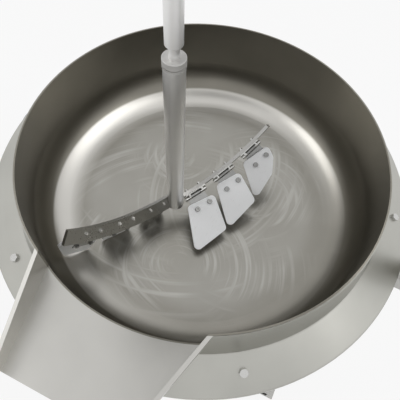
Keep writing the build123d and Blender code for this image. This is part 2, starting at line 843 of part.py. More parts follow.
def make_upper_sleeve():
    """Driven sleeve under the head, with its spindle running up to the pinion."""
    sleeve = standing(sleeve_radius, sleeve_bottom, carrier_bottom)
    sleeve = chamfer(sleeve.edges().group_by(Axis.Z)[0], sleeve_chamfer)
    sleeve += standing(spindle_radius, carrier_bottom - 0.5, gear_bottom + gear_width + 3)
    return on_shaft(sleeve)


def make_collar_ring():
    """Locking ring on the top of the stirrer shaft."""
    ring = standing(collar_ring_radius, shaft_top, shaft_top + collar_ring_height)
    groove = standing(collar_ring_radius + 1, shaft_top + 4, shaft_top + 7)
    ring -= groove - standing(shaft_radius - 1.5, shaft_top, shaft_top + 20)
    ring = chamfer(ring.edges().group_by(Axis.Z)[-1], 1.2)
    return on_shaft(ring - standing(neck_radius, shaft_top - 1, shaft_top + 40))


def make_shaft():
    """Stirrer shaft with the slim neck that runs up into the driven sleeve."""
    shaft = standing(shaft_radius, -shaft_foot, shaft_top)
    shaft = chamfer(shaft.edges().group_by(Axis.Z)[0], 3)
    return on_shaft(shaft + standing(neck_radius, shaft_top, sleeve_bottom))


def arm_frame(turn):
    """Frame of one arm: X out along the arm, -Y towards its scrapers, Z up."""
    return Pos(planet_x, planet_y, 0) * Rot(0, 0, arm_direction + turn)


arc_centre_height = -arm_top_drop + arm_arc_radius


def arm_solid():
    """Leaning flat bar, curved upwards along an arc."""
    middle = arm_height / 2
    bar = Rectangle(arm_thickness, arm_height)
    section = Pos(-arm_shift, -arm_top_drop - middle) * Rot(0, 0, arm_lean) * bar
    face = Pos(arm_arc_offset, 0, 0) * (Plane.YZ * section)
    axis = Axis((arm_arc_offset, 0, arc_centre_height), (0, -1, 0))
    middle_radius = arm_arc_radius + middle
    outward = degrees(asin((arm_reach - arm_arc_offset) / middle_radius))
    inward = degrees(asin(arm_arc_offset / middle_radius))
    return revolve(face, axis, outward) + revolve(face, axis, -inward)


def make_arm(turn):
    arm = arm_frame(turn) * arm_solid()
    return arm - on_shaft(standing(shaft_radius, -900, 900))


# ---- Scrapers ------------------------------------------------------------------------------
# Hinges, from the shaft outwards: distance from the shaft and half length along the pin.
hinges = (
    dict(along=67.0, hinge_half=37.0),
    dict(along=177.0, hinge_half=38.0),
    dict(along=282.0, hinge_half=36.0),
)
# Blades: slope below level and corners, each along and down from the middle of the pin.
# The right arm's blades lie flat on their work, and the left arm's hang steeply.
right_blades = (
    dict(slope=21.0, outline=((-45, 20), (50, 32), (20, 147), (-106, 154))),
    dict(slope=23.0, outline=((-42, 14), (42, 27), (26, 131), (-99, 148))),
    dict(slope=36.0, outline=((-48, 12), (48, 27), (34, 68), (-4, 105), (-106, 133))),
)
left_blades = (
    dict(slope=75.0, outline=((-42, 16), (45, 16), (45, 76), (-42, 76))),
    dict(slope=75.0, outline=((-45, 16), (45, 16), (48, 98), (-50, 80))),
    dict(slope=78.0, outline=((-46, 14), (58, 12), (90, 24), (34, 112), (-50, 108))),
)
right_scrapers = [hinge | blade for hinge, blade in zip(hinges, right_blades)]
left_scrapers = [hinge | blade for hinge, blade in zip(hinges, left_blades)]


def pin_rise(along):
    """Angle of the arm's edge above level at a distance from the shaft."""
    return degrees(asin((along - arm_arc_offset) / (arm_arc_radius + hinge_drop)))


def pin_place(scraper):
    """Middle of the hinge pin in the arm's frame."""
    rise = radians(pin_rise(scraper["along"]))
    radius = arm_arc_radius + hinge_drop
    return (arm_arc_offset + radius * sin(rise), -hinge_shift, arc_centre_height - radius * cos(rise))


def hinge_frame(scraper):
    """Local frame of a hinge: X along the pin, -Y towards the scraper, Z square to the arm's edge."""
    return Pos(*pin_place(scraper)) * Rot(0, -pin_rise(scraper["along"]), 0)


def blade_frame(scraper):
    """The hinge frame tipped so that -Y runs down the blade."""
    return hinge_frame(scraper) * Rot(scraper["slope"], 0, 0)


def along_pin(radius, start, end):
    return Pos((start + end) / 2, 0, 0) * Rot(0, 90, 0) * Cylinder(radius, end - start)


def blade_reach(scraper, across):
    """Length of the blade where its underside comes within scraper_gap of the swept bowl."""
    frame = blade_frame(scraper)
    low = scraper_top
    high = 260.0
    for _ in range(30):
        middle = (low + high) / 2
        point = (frame * Pos(across, -middle, -scraper_thickness / 2)).position
        swept = hypot(point.X, point.Y) + eccentricity
        floor = dish_height(bowl_radius, bowl_depth, bowl_knuckle, bowl_crown, swept)
        if swept < bowl_radius - scraper_gap and point.Z > floor + scraper_gap:
            low = middle
        else:
            high = middle
    return low


def make_scraper(scraper):
    """Plastic blade with rounded corners, kept clear of the bowl that it sweeps."""
    corners = [(across, -min(drop, blade_reach(scraper, across))) for across, drop in scraper["outline"]]
    face = make_face(Polyline(*corners, close=True))
    face = fillet(face.vertices(), scraper_corner)
    blade = extrude(face, scraper_thickness / 2, both=True)
    for side in (-1, 1):
        place = Pos(side * scraper_screw_spacing / 2, -scraper_screw_drop, 0)
        blade -= place * Cylinder(scraper_screw_radius, 60)
    return blade_frame(scraper) * blade


def make_blade_leaf(scraper):
    """Moving hinge leaf behind the blade, with the middle knuckle."""
    half = scraper["hinge_half"]
    middle = half / 2 - hinge_gap
    low = -scraper_thickness / 2 - leaf_thickness / 2
    start = knuckle_radius + 1.5
    length = blade_leaf_length - start
    plate = Pos(0, -start - length / 2, low) * Box(2 * half - 12, length, leaf_thickness)
    tab = Pos(0, -start / 2 - 1, low) * Box(2 * middle, start + 2, leaf_thickness)
    leaf = plate + tab + along_pin(knuckle_radius, -middle, middle)
    leaf -= along_pin(pin_radius + hinge_fit, -100, 100)
    for side in (-1, 1):
        place = Pos(side * scraper_screw_spacing / 2, -scraper_screw_drop, 0)
        leaf -= place * Cylinder(scraper_screw_radius, 60)
    return blade_frame(scraper) * leaf


def make_scraper_screws(scraper):
    """Two screws and nuts that clamp the blade to its leaf."""
    top = scraper_thickness / 2
    under = top + leaf_thickness
    head = standing(screw_head_radius, top, top + screw_head_height)
    head = chamfer(head.edges().group_by(Axis.Z)[-1], 0.8)
    socket = Pos(0, 0, top + screw_head_height - 2.2) * extrude(RegularPolygon(3.5, 6), 5)
    shank = standing(scraper_screw_radius, -under - 8, top)
    nut = Pos(0, 0, -under - 6.5) * extrude(RegularPolygon(7.5, 6), 6.5)
    screw = head + shank + nut - socket
    places = [Pos(side * scraper_screw_spacing / 2, -scraper_screw_drop, 0) for side in (-1, 1)]
    return blade_frame(scraper) * group([place * screw for place in places])


def arm_face_frame(scraper):
    """Frame on the middle of the arm at a hinge, leaning with the bar."""
    middle = hinge_drop - arm_height / 2
    return hinge_frame(scraper) * Pos(0, hinge_shift - arm_shift, middle) * Rot(arm_lean, 0, 0)


def leaf_bolt_places(scraper):
    face = arm_face_frame(scraper)
    return [face * Pos(side * leaf_bolt_spacing / 2, 0, 5) * Rot(90, 0, 0) for side in (-1, 1)]


def make_arm_leaf(scraper):
    """Fixed hinge leaf bolted to the bar, with the two outer knuckles."""
    half = scraper["hinge_half"]
    middle = half / 2
    offset = -(arm_thickness + leaf_thickness) / 2
    plate = arm_face_frame(scraper) * Pos(0, offset, -2) * Box(2 * half, leaf_thickness + 1, 36)
    knuckles = along_pin(knuckle_radius, -half, -middle) + along_pin(knuckle_radius, middle, half)
    leaf = plate + hinge_frame(scraper) * knuckles
    leaf -= hinge_frame(scraper) * along_pin(pin_radius + hinge_fit, -100, 100)
    leaf -= hinge_frame(scraper) * along_pin(knuckle_radius + hinge_gap, -middle, middle)
    leaf -= arm_solid()
    for place in leaf_bolt_places(scraper):
        leaf -= place * Cylinder(leaf_bolt_radius, 60)
    return leaf


def make_hinge_pin(scraper):
    half = scraper["hinge_half"] + 0.3
    pin = along_pin(pin_radius, -half - 1, half + 1)
    heads = along_pin(pin_radius + 2, -half - 2.7, -half) + along_pin(pin_radius + 2, half, half + 2.7)
    return hinge_frame(scraper) * (pin + heads)


def make_leaf_bolts(scraper):
    """Small hexagon bolts through leaf and bar, with nuts behind."""
    front = arm_thickness / 2 + leaf_thickness + 0.5
    back = arm_thickness / 2 + 0.3
    bolt = Pos(0, 0, front) * extrude(RegularPolygon(5, 6, major_radius=False), 4.5)
    bolt += Pos(0, 0, (front - back) / 2) * Cylinder(leaf_bolt_radius, front + back + 14)
    bolt += Pos(0, 0, -back - 5) * extrude(RegularPolygon(5, 6, major_radius=False), 5)
    return group([place * bolt for place in leaf_bolt_places(scraper)])


def bored_arm(turn):
    """Arm with the holes for its hinge bolts."""
    holes = [place * Cylinder(leaf_bolt_radius, 60) for hinge in hinges for place in leaf_bolt_places(hinge)]
    return make_arm(turn) - arm_frame(turn) * group(holes)


# ---- Base --------------------------------------------------------------------------------
pedestal_top = tilt_height - bearing_seat_drop
pedestal_middle = bearing_inner_face + bearing_width / 2
skid_bottom = anchor_plate_thickness
skid_top = skid_bottom + skid_height
tube_wall = 5.0
cross_beam_places = (-120.0, 200.0)
pedestal_foot_half = 150.0
pedestal_top_half = 72.0


def column_block(bottom, top, wall):
    """Column that leans inwards towards its foot, tapered in both views, less a wall all round."""
    foot = pedestal_foot_half - wall
    head = pedestal_top_half - wall
    taper = Polyline((-foot, bottom), (foot, bottom), (head, top), (-head, top), close=True)
    lean = (pedestal_middle - skid_offset) / (pedestal_top - skid_top)
    half = bearing_width / 2 - wall
    low = skid_offset + lean * (bottom - skid_top)
    high = skid_offset + lean * (top - skid_top)
    corners = [(low - half, bottom), (low + half, bottom), (high + half, top), (high - half, top)]
    front = Polyline(*corners, close=True)
    side_view = extrude(Plane.YZ * make_face(taper), 2 * pedestal_middle)
    front_view = extrude(Plane.XZ * make_face(front), pedestal_foot_half, both=True)
    return side_view & front_view


def make_pedestal(side):
    """Hollow leaning column that carries one trunnion bearing."""
    column = column_block(skid_top, pedestal_top, 0)
    column -= column_block(skid_top + tube_wall, pedestal_top - 12, tube_wall)
    return column if side > 0 else mirror(column, Plane.YZ)


def box_tube(length_x, length_y, length_z, hollow_axis):
    """Square tube, open along the given axis."""
    inner = [length_x - 2 * tube_wall, length_y - 2 * tube_wall, length_z - 2 * tube_wall]
    inner[hollow_axis] = 4000
    return Box(length_x, length_y, length_z) - Box(*inner)


def make_base_frame():
    """Two skids joined by cross beams, with an anchor plate under each skid end."""
    middle_z = skid_bottom + skid_height / 2
    frame = []
    for side in (-1, 1):
        tube = box_tube(skid_width, 2 * skid_half_length, skid_height, 1)
        frame.append(Pos(side * skid_offset, 0, middle_z) * tube)
    for y in cross_beam_places:
        beam = box_tube(2 * skid_offset - skid_width, 50, 50, 0)
        frame.append(Pos(0, y, middle_z) * beam)
    return group(frame)


def anchor_places():
    """Anchor plate centres, one under each skid end."""
    along = skid_half_length - anchor_plate / 2
    return [(side * skid_offset, y) for side in (-1, 1) for y in (-along, along)]


def make_anchor_plates():
    plate = Box(anchor_plate, anchor_plate, anchor_plate_thickness)
    for side in (-1, 1):
        plate -= Pos(side * anchor_plate * 0.38, 0, 0) * Cylinder(anchor_bore / 2, 60)
    return group([Pos(x, y, anchor_plate_thickness / 2) * plate for x, y in anchor_places()])


def make_bearing(side):
    """Plummer block that a trunnion turns in."""
    block = Rot(0, 90, 0) * Cylinder(bearing_radius, bearing_width)
    foot_height = bearing_seat_drop
    block += Pos(0, 0, -foot_height / 2) * Box(bearing_width, 2 * bearing_radius, foot_height)
    block += Pos(0, 0, -foot_height + 6) * Box(bearing_width, 2 * pedestal_top_half, 12)
    block -= Rot(0, 90, 0) * Cylinder(trunnion_radius + bearing_fit, 200)
    return Pos(side * pedestal_middle, 0, tilt_height) * block


# ---- Tilting gear --------------------------------------------------------------------------
wheel_pitch = worm_module * worm_wheel_teeth / 2
worm_drop = wheel_pitch + worm_radius
gear_case_inner = bearing_inner_face + bearing_width
gear_case_outer = gear_case_inner + gear_case_width
worm_wheel_offset = (gear_case_inner + gear_case_outer) / 2
gear_case_radius = wheel_pitch + gear_case_room + gear_case_wall
gear_case_half = 80.0


def make_gear_case():
    """Cast case of the worm gear, bolted to the left bearing."""
    width = gear_case_width
    inside = width - 2 * gear_case_wall
    worm_room = worm_radius + 4
    case = Rot(0, 90, 0) * Cylinder(gear_case_radius, width)
    case += Pos(0, 0, -worm_drop) * Box(width, 2 * gear_case_half, 2 * (worm_room + gear_case_wall))
    case += Pos(0, 0, -worm_drop / 2) * Box(width, 2 * gear_case_radius, worm_drop)
    case += Pos(0, -gear_case_half - 20, -worm_drop) * Rot(90, 0, 0) * Cylinder(16, 60)
    case -= Rot(0, 90, 0) * Cylinder(gear_case_radius - gear_case_wall, inside)
    case -= Pos(0, 0, -worm_drop) * Box(inside, 2 * gear_case_half - 24, 2 * worm_room)
    case -= Pos(0, 0, -worm_drop) * Rot(90, 0, 0) * Cylinder(worm_shaft_radius + slide_fit, 600)
    case -= Pos(width / 2, 0, 0) * Rot(0, 90, 0) * Cylinder(trunnion_radius + 1, width)
    return Pos(-worm_wheel_offset, 0, tilt_height) * case


def make_worm_wheel():
    """Worm wheel keyed on the left trunnion."""
    half = pi / (2 * worm_wheel_teeth)
    tip = wheel_pitch + 0.8 * worm_module
    root = wheel_pitch - worm_module
    points = []
    for tooth in range(worm_wheel_teeth):
        centre = 2 * pi * (tooth + 0.5) / worm_wheel_teeth
        for radius, share in ((root, -1.5), (tip, -0.5), (tip, 0.5), (root, 1.5)):
            angle = centre + share * half
            points.append((radius * cos(angle), radius * sin(angle)))
    wheel = extrude(make_face(Polyline(*points, close=True)), worm_wheel_width / 2, both=True)
    wheel -= Cylinder(trunnion_radius, 200)
    return Pos(-worm_wheel_offset, 0, tilt_height) * Rot(0, 90, 0) * wheel


def along_y(radius, start, end):
    return Pos(0, (start + end) / 2, 0) * (Rot(90, 0, 0) * Cylinder(radius, abs(end - start)))


def on_worm(shape):
    return Pos(-worm_wheel_offset, 0, tilt_height - worm_drop) * shape


def make_worm_shaft():
    """Worm and the long shaft that brings it forward to the handwheel."""
    root = worm_radius - worm_module * 1.1
    shaft = along_y(worm_shaft_radius, -handwheel_reach - 12, gear_case_half - 4)
    return on_worm(along_y(root, -32, 32) + shaft)


def make_handwheel():
    """Spoked wheel on the worm shaft."""
    rim = Rot(90, 0, 0) * Torus(handwheel_radius, 9)
    hub = along_y(22, -16, 16)
    wheel = rim + hub
    for i in range(3):
        bar = Box(handwheel_radius - 16, 8, 18)
        spoke = Rot(0, 120 * i + 30, 0) * Pos(handwheel_radius / 2 + 8, 0, 0) * bar
        wheel += spoke
    wheel -= along_y(worm_shaft_radius, -60, 60)
    wheel -= Rot(0, -30, 0) * Pos(handwheel_radius, 0, 0) * along_y(6, -60, 60)
    return on_worm(Pos(0, -handwheel_reach, 0) * wheel)


def make_handwheel_grip():
    """Turning grip on the handwheel's rim."""
    grip = along_y(13, -24, -84)
    grip = fillet(grip.edges(), 5) + along_y(6, 9, -30)
    return on_worm(Pos(0, -handwheel_reach, 0) * Rot(0, -30, 0) * Pos(handwheel_radius, 0, 0) * grip)


# ---- Parts list ----------------------------------------------------------------------------
def export_all():
    save("inner_bowl", at_rim(make_bowl()))
    save("rim_apron", at_rim(make_apron()))
    save("pouring_spout", at_rim(make_spout()))
    save("steam_jacket", at_rim(make_jacket()))
    save("insulation", at_rim(make_insulation()))
    save("outer_cladding", at_rim(make_cladding()))
    save("apron_brackets", at_rim(make_apron_brackets()))
    save("apron_bolts", at_rim(group([make_apron_bolts(), make_apron_nuts()])))
    right = make_trunnion(1, pedestal_middle + bearing_width / 2 + 2)
    left = make_trunnion(-1, worm_wheel_offset + worm_wheel_width / 2 + 4)
    save("trunnions", at_rim(group([right, left])))
    save("stub_beam", at_rim(make_stub_beam()))
    save("jacket_pipes", at_rim(group([make_steam_pipe(), make_safety_pipe(), make_drain_pipe()])))
    save("ball_valve_bodies", at_rim(group([make_steam_valve(), make_drain_valve()])))
    save("steam_valve_lever", at_rim(make_steam_lever()))
    save("steam_inlet_flange", at_rim(make_steam_flange()))
    save("safety_valve", at_rim(make_safety_valve()))
    save("safety_valve_lever", at_rim(make_safety_lever()))
    save("pressure_gauge", at_rim(make_gauge()))
    save("condensate_valve_lever", at_rim(make_drain_lever()))
    save("worm_wheel", make_worm_wheel())

    save("lift_post", at_rim(make_post()))
    save("post_bush", at_rim(make_post_bush()))
    save("lift_cylinder", at_rim(make_lift_cylinder()))
    save("lift_tube", at_rim(make_lift_tube()))
    save("lift_rod", at_rim(make_lift_rod()))
    save("arm_beam", at_rim(make_arm_beam()))
    save("head_housing", at_rim(make_head_housing()))
    save("carrier_bearing", at_rim(make_carrier_bearing()))
    save("ring_gear", at_rim(make_ring_gear()))
    save("head_gearbox", at_rim(make_gearbox()))
    save("motor", at_rim(group([make_motor(), make_terminal_box()])))
    save("motor_fan_cover", at_rim(make_fan_cover()))
    save("planet_carrier", at_rim(group([make_carrier(), make_planet_bearing()])))

    save("planet_gear", at_rim(make_planet_gear()))
    save("upper_sleeve", at_rim(make_upper_sleeve()))
    save("collar_ring", at_rim(make_collar_ring()))
    save("stirrer_shaft", at_rim(make_shaft()))
    leaves = []
    pins = []
    bolts = []
    save("stirrer_arms", at_rim(group([bored_arm(0), bored_arm(180)])))
    for side, turn, scrapers in (("right", 0, right_scrapers), ("left", 180, left_scrapers)):
        for number, scraper in enumerate(scrapers, 1):
            place = Pos(0, 0, rim_height) * arm_frame(turn)
            save(f"scraper_{side}_{number}", place * make_scraper(scraper))
            moving = [make_blade_leaf(scraper), make_scraper_screws(scraper)]
            save(f"scraper_leaf_{side}_{number}", place * group(moving))
            leaves.append(place * make_arm_leaf(scraper))
            pins.append(place * make_hinge_pin(scraper))
            bolts.append(place * make_leaf_bolts(scraper))
    save("arm_hinge_leaves", group(leaves))
    save("hinge_pins", group(pins))
    save("hinge_bolts", group(bolts))

    save("base_frame", make_base_frame())
    save("anchor_plates", make_anchor_plates())
    save("pedestals", group([make_pedestal(-1), make_pedestal(1)]))
    save("trunnion_bearings", group([make_bearing(-1), make_bearing(1)]))
    save("tilt_gear_case", make_gear_case())
    save("worm_shaft", make_worm_shaft())
    save("handwheel", make_handwheel())
    save("handwheel_grip", make_handwheel_grip())


export_all()
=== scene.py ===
import math
import bmesh
import bpy
from mathutils import Matrix, Vector


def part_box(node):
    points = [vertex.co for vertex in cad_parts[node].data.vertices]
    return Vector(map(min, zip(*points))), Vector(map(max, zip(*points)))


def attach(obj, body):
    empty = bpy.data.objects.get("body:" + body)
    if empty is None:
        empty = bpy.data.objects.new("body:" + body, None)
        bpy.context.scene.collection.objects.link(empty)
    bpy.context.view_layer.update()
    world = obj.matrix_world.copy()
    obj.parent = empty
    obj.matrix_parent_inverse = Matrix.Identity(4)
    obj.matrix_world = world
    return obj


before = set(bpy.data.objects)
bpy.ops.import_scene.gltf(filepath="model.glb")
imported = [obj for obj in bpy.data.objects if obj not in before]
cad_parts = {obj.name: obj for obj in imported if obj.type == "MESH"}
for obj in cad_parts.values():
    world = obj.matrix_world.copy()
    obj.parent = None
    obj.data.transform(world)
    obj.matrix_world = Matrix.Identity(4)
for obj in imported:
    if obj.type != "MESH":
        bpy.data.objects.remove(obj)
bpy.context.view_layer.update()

# %% [markdown]
# # A tilting steam kettle with a scraper stirrer
#
# The kettle is stainless steel sheet, and nearly all of its look is in how that sheet
# was finished: rolled, brushed, or polished with a disc. The shapes come ready from the
# construction model, so the first thing to know here is which pieces there are.

# %% What is in the frame
print(len(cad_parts), "pieces from the construction model")

# %% [markdown]
# ## Camera
#
# A person about to look into a kettle stands near the spout and looks down past the rim.
# The camera is placed by where it stands, the way it faces, and a small lean of the head.
# Turning about Z first, then tipping down, then rolling keeps the three angles readable.

# %% Camera
camera_place = (0.2612, -0.6779, 2.0565)
camera_heading = math.radians(21.19)
camera_pitch = math.radians(59.742)
camera_roll = math.radians(4.899)

camera_data = bpy.data.cameras.new("visitor_view")
camera_data.lens = 39.5
camera_data.sensor_width = 36.0
camera = bpy.data.objects.new("visitor_view", camera_data)
facing = Matrix.Rotation(camera_heading, 4, "Z")
facing = facing @ Matrix.Rotation(math.pi / 2 - camera_pitch, 4, "X")
facing = facing @ Matrix.Rotation(camera_roll, 4, "Z")
camera.matrix_world = Matrix.Translation(camera_place) @ facing
bpy.context.scene.collection.objects.link(camera)
bpy.context.scene.camera = camera
print("camera", round(math.degrees(camera_pitch)), "degrees down")

# %% [markdown]
# ## Small helpers for materials
#
# Every finish below is a node tree. Two helpers keep them short: one adds a node and
# fills its sockets from values or from other nodes, and one starts a material with the
# object's own coordinates, so that a pattern stays put when a joint moves.

# %% Node helpers
def add(tree, kind, sockets=(), **settings):
    """Add a node, set its options, then fill sockets given as {name or index: value or link}."""
    node = tree.nodes.new("ShaderNode" + kind)
    for key, value in settings.items():
        setattr(node, key, value)
    for key, value in dict(sockets).items():
        if isinstance(value, bpy.types.NodeSocket):
            tree.links.new(value, node.inputs[key])
        else:
            node.inputs[key].default_value = value
    return node


def math_node(tree, operation, *values, clamp=False):
    node = add(tree, "Math", dict(enumerate(values)), operation=operation, use_clamp=clamp)
    return node.outputs[0]


def times(tree, first, second):
    return math_node(tree, "MULTIPLY", first, second)


def plus(tree, first, second):
    return math_node(tree, "ADD", first, second)


def blend_colours(tree, factor, first, second):
    sockets = {0: factor, 6: first, 7: second}
    return add(tree, "Mix", sockets, data_type="RGBA").outputs[2]


def blend_values(tree, factor, first, second):
    return add(tree, "Mix", {0: factor, 2: first, 3: second}, data_type="FLOAT").outputs[0]


def noise(tree, place, scale, detail=2.0, roughness=0.5, distortion=0.0):
    sockets = {"Vector": place, "Scale": scale, "Detail": detail}
    sockets.update({"Roughness": roughness, "Distortion": distortion})
    return add(tree, "TexNoise", sockets).outputs["Fac"]


def steps(tree, value, low, high, to_low=0.0, to_high=1.0):
    """Map a value from one range to another, held at the ends."""
    sockets = {0: value, 1: low, 2: high, 3: to_low, 4: to_high}
    return add(tree, "MapRange", sockets, clamp=True).outputs[0]


def new_material(name):
    material = bpy.data.materials.new(name)
    material.use_nodes = True
    tree = material.node_tree
    shader = tree.nodes["Principled BSDF"]
    place = add(tree, "TexCoord").outputs["Object"]
    return material, tree, shader, place


def scaled(tree, place, factors, centre=(0.0, 0.0, 0.0)):
    """Coordinates measured from a centre, stretched along each axis."""
    moved = add(tree, "VectorMath", {0: place, 1: centre}, operation="SUBTRACT").outputs[0]
    return add(tree, "VectorMath", {0: moved, 1: factors}, operation="MULTIPLY").outputs[0]


def around_axis(tree, place, centre=(0.0, 0.0, 0.0)):
    """Angle, distance from a vertical axis, and height."""
    moved = add(tree, "VectorMath", {0: place, 1: centre}, operation="SUBTRACT").outputs[0]
    part = add(tree, "SeparateXYZ", {0: moved})
    x, y, z = part.outputs
    angle = math_node(tree, "ARCTAN2", y, x)
    square = plus(tree, times(tree, x, x), times(tree, y, y))
    return angle, math_node(tree, "SQRT", square), z


def ring_track(tree, angle, reach, across):
    """Noise coordinates that are slow around an axis and fast across it, with no seam."""
    x = times(tree, math_node(tree, "COSINE", angle), reach)
    y = times(tree, math_node(tree, "SINE", angle), reach)
    return add(tree, "CombineXYZ", {0: x, 1: y, 2: across}).outputs[0]


def set_bump(tree, shader, height, strength, distance):
    sockets = {"Height": height, "Strength": strength, "Distance": distance}
    tree.links.new(add(tree, "Bump", sockets).outputs[0], shader.inputs["Normal"])


# %% [markdown]
# ## Stainless steel
#
# Bare steel has no colour of its own to speak of. What the eye reads is how sharply it
# mirrors the room, and the fine lines that brushing leaves: they run round a turned or
# rolled piece, and straight along a bar or a folded sheet. One recipe serves both, with
# the lines drawn as noise that is stretched along the brushing direction. Bolts and
# hinges are too small to be brushed, so their noise is the same size in all directions.

# %% Steel recipe
line_reach = 2.0             # how slowly a brushed line changes along its run
line_relief = 0.0002         # metres


def turned_track(tree, angle, radius, height, fineness):
    """Noise coordinates for lines that run round a turned or rolled piece."""
    across = plus(tree, times(tree, radius, fineness), times(tree, height, fineness))
    return ring_track(tree, angle, line_reach, across)


def steel(name, colour, roughness, lines, depth=0.25, axis=(0, 0, 0)):
    """Lines per metre: one number where they run round an axis, three where they run straight."""
    material, tree, shader, place = new_material(name)
    if isinstance(lines, tuple):
        track = scaled(tree, place, lines)
    else:
        track = turned_track(tree, *around_axis(tree, place, axis), lines)
    grain = noise(tree, track, 1.0, detail=3.0)
    cloud = noise(tree, place, 5.0, detail=3.0)
    shader.inputs["Metallic"].default_value = 1.0
    dull = tuple(channel * 0.9 for channel in colour) + (1.0,)
    tone = blend_colours(tree, steps(tree, cloud, 0.35, 0.65), colour + (1.0,), dull)
    tree.links.new(tone, shader.inputs["Base Color"])
    spread = blend_values(tree, grain, roughness * 0.8, roughness * 1.25)
    smudge = times(tree, steps(tree, cloud, 0.3, 0.7), 0.04)
    tree.links.new(plus(tree, spread, smudge), shader.inputs["Roughness"])
    set_bump(tree, shader, grain, depth, line_relief)
    return material


# %% [markdown]
# ## Steel finishes
#
# Sheet, bar and turned parts of one machine never match. The tones run from the bright
# turned shaft to mill steel that nobody polished. Each finish has a colour, a roughness
# and its lines, and the sheet of the apron and spout has its lines nearly worn away.

# %% Steel finishes
bright_steel = (0.58, 0.575, 0.555)
plain_steel = (0.44, 0.435, 0.415)
dark_steel = (0.31, 0.31, 0.30)
apron_steel = (0.45, 0.445, 0.41)
spout_steel = (0.53, 0.52, 0.49)
shaft_steel = (0.86, 0.855, 0.845)

fine_lines = 900
sheet_lines = 300
worn = 0.06                  # depth of lines that are nearly worn away

shaft_distance = 0.088       # the stirrer's own axis, beside the middle of the bowl
shaft_bearing = math.radians(229.5)
shaft_axis = (shaft_distance * math.cos(shaft_bearing), shaft_distance * math.sin(shaft_bearing), 0)
column_axis = (0.69, 0, 0)

apron_finish = steel("rolled_apron_steel", apron_steel, 0.30, sheet_lines, worn)
spout_finish = steel("folded_spout_steel", spout_steel, 0.30, (260, 8, 260), worn)
shell_finish = steel("brushed_shell_steel", plain_steel, 0.34, fine_lines)
jacket_finish = steel("mill_jacket_steel", dark_steel, 0.5, fine_lines)
shaft_finish = steel("turned_shaft_steel", shaft_steel, 0.34, fine_lines, 0.1, shaft_axis)
bar_finish = steel("ground_bar_steel", plain_steel, 0.27, (300, 300, 60))
hinge_finish = steel("hinge_steel", bright_steel, 0.22, (200, 200, 200))
leaf_finish = steel("hinge_leaf_steel", dark_steel, 0.32, (200, 200, 200))
frame_finish = steel("welded_frame_steel", plain_steel, 0.36, (500, 12, 500))
column_finish = steel("column_steel", bright_steel, 0.22, fine_lines, axis=column_axis)
beam_finish = steel("beam_steel", plain_steel, 0.3, (12, 500, 500))
bolt_finish = steel("bolt_steel", bright_steel, 0.25, (150, 150, 150))
gear_finish = steel("cut_gear_steel", dark_steel, 0.35, (200, 200, 20))
print("steel finishes:", len(bpy.data.materials))

# %% [markdown]
# ## The inside of the bowl
#
# The bowl is pressed from one sheet and polished on a turning table, so its fine lines
# run round it. The bottom was then gone over with a disc by hand, which leaves thin
# bright scratches in long arcs. Each set of scratches is a stretched noise in rings about
# a point beside the middle, and a slow noise fades it in and out. The corner between
# wall and bottom carries a painted highlight: a band of lighter steel that stands for a
# lamp's reflection, stronger on one side than on the other, with a sharp outer edge where
# the wall begins.
# The walls carry painted shade: they are given a darker steel than the bottom.

# %% Disc scratches
scratch_sets = (
    # centre of the arcs seen from above, lines per metre, offset of the fading noise
    ((0.16, 0.10, 0), 80.0, 3.0),
    ((-0.14, 0.15, 0), 62.0, 7.0),
    ((0.03, -0.22, 0), 95.0, 11.0),
)
scratch_reach = 0.7          # less than for brushed lines, so that the arcs stay whole


def disc_scratches(tree, place, centre, fineness, offset):
    """Thin broken arcs about a centre."""
    angle, radius, _ = around_axis(tree, place, centre)
    track = ring_track(tree, angle, scratch_reach, times(tree, radius, fineness))
    line = steps(tree, noise(tree, track, 1.0), 0.50, 0.72)
    mask = noise(tree, scaled(tree, place, (1, 1, 1), (0, offset, 0)), 4.0)
    return times(tree, line, steps(tree, mask, 0.48, 0.62))


print("sets of disc scratches:", len(scratch_sets))

# %% Bowl finish
bowl_lines = 420.0
disc_work = (0.43, 0.34)     # radii between which the disc scratches set in
# painted highlight: a band of lighter steel in the corner, between these radii, strongest towards one
# side
corner_outside = (0.464, 0.459)
corner_inside = (0.375, 0.42)
highlight_side = math.radians(155)
# painted shade: the walls get a darker steel than the bottom of the same sheet
shaded_wall_tones = (0.20, 0.19, 0.162, 1), (0.245, 0.232, 0.200, 1)
bottom_tones = (0.29, 0.28, 0.25, 1), (0.35, 0.34, 0.31, 1)
scratch_tone = (0.72, 0.71, 0.68, 1)
# colour of the painted highlight in the corner
painted_highlight_tone = (0.56, 0.545, 0.51, 1)


